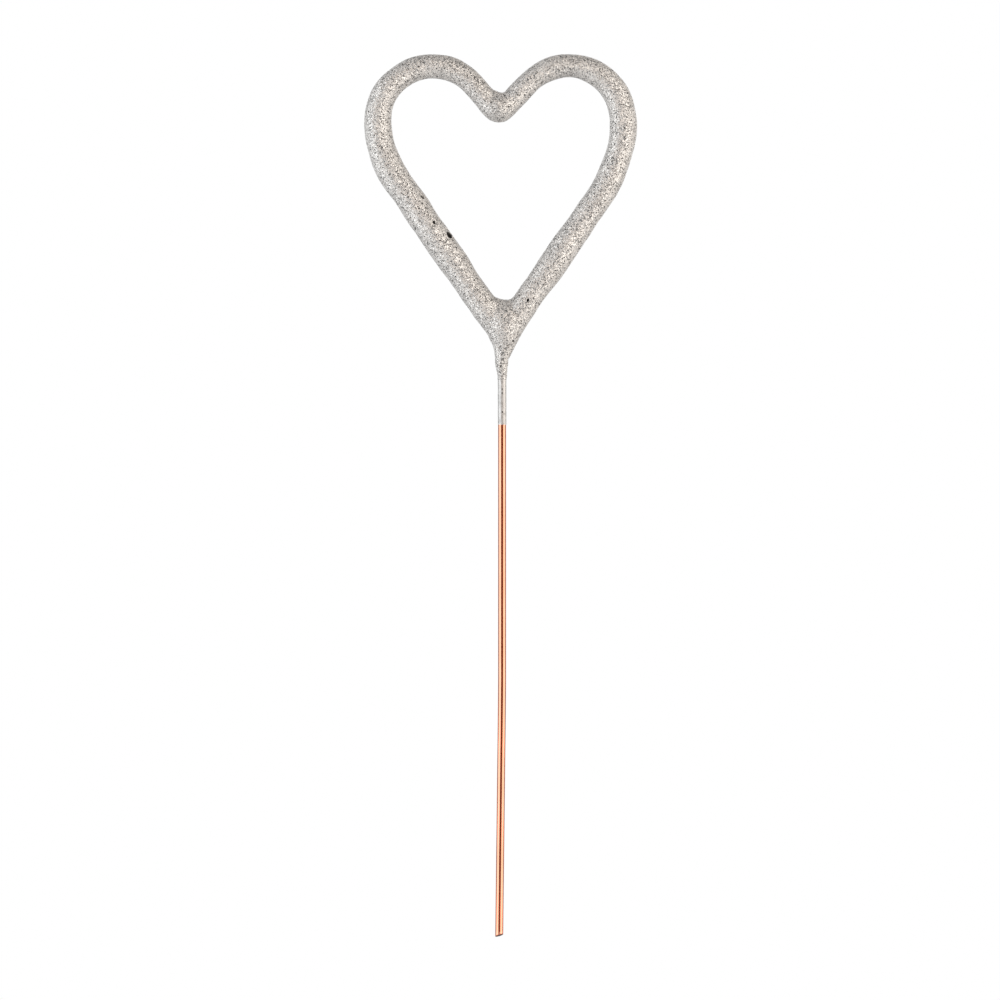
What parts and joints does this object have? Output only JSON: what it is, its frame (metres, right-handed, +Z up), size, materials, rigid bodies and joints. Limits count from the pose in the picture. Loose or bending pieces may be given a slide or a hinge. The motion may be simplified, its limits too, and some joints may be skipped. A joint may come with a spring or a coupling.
{
  "type": "heart sparkler",
  "caption": "Hand or cake sparkler: a copper-plated wire stem bent into a heart at the top, the heart dipped in grainy grey spark composition.",
  "frame": {"origin": "middle of the cut end of the stem", "axes": "+Z up the upright part of the stem to the heart, +X across the heart, +Y through it, away from the viewer of the picture"},
  "size_m": [0.0555, 0.0062, 0.18],
  "materials": {
    "steel": "drawn mild steel, dull and dark at the sheared end",
    "copper": "bright thin copper plating with faint drawing marks",
    "film": "thin mottled silvery film of dried composition",
    "under_coat": "dried spark composition, grainy",
    "outer_coat": "dried spark composition, light silver-grey, grainy with a faint metallic glitter"
  },
  "bodies": {
    "root": {"steel_wire": "steel", "copper_plating": "copper", "dip_film": "film", "dip_collar": "under_coat", "spark_coat": "outer_coat"}
  },
  "joints": []
}
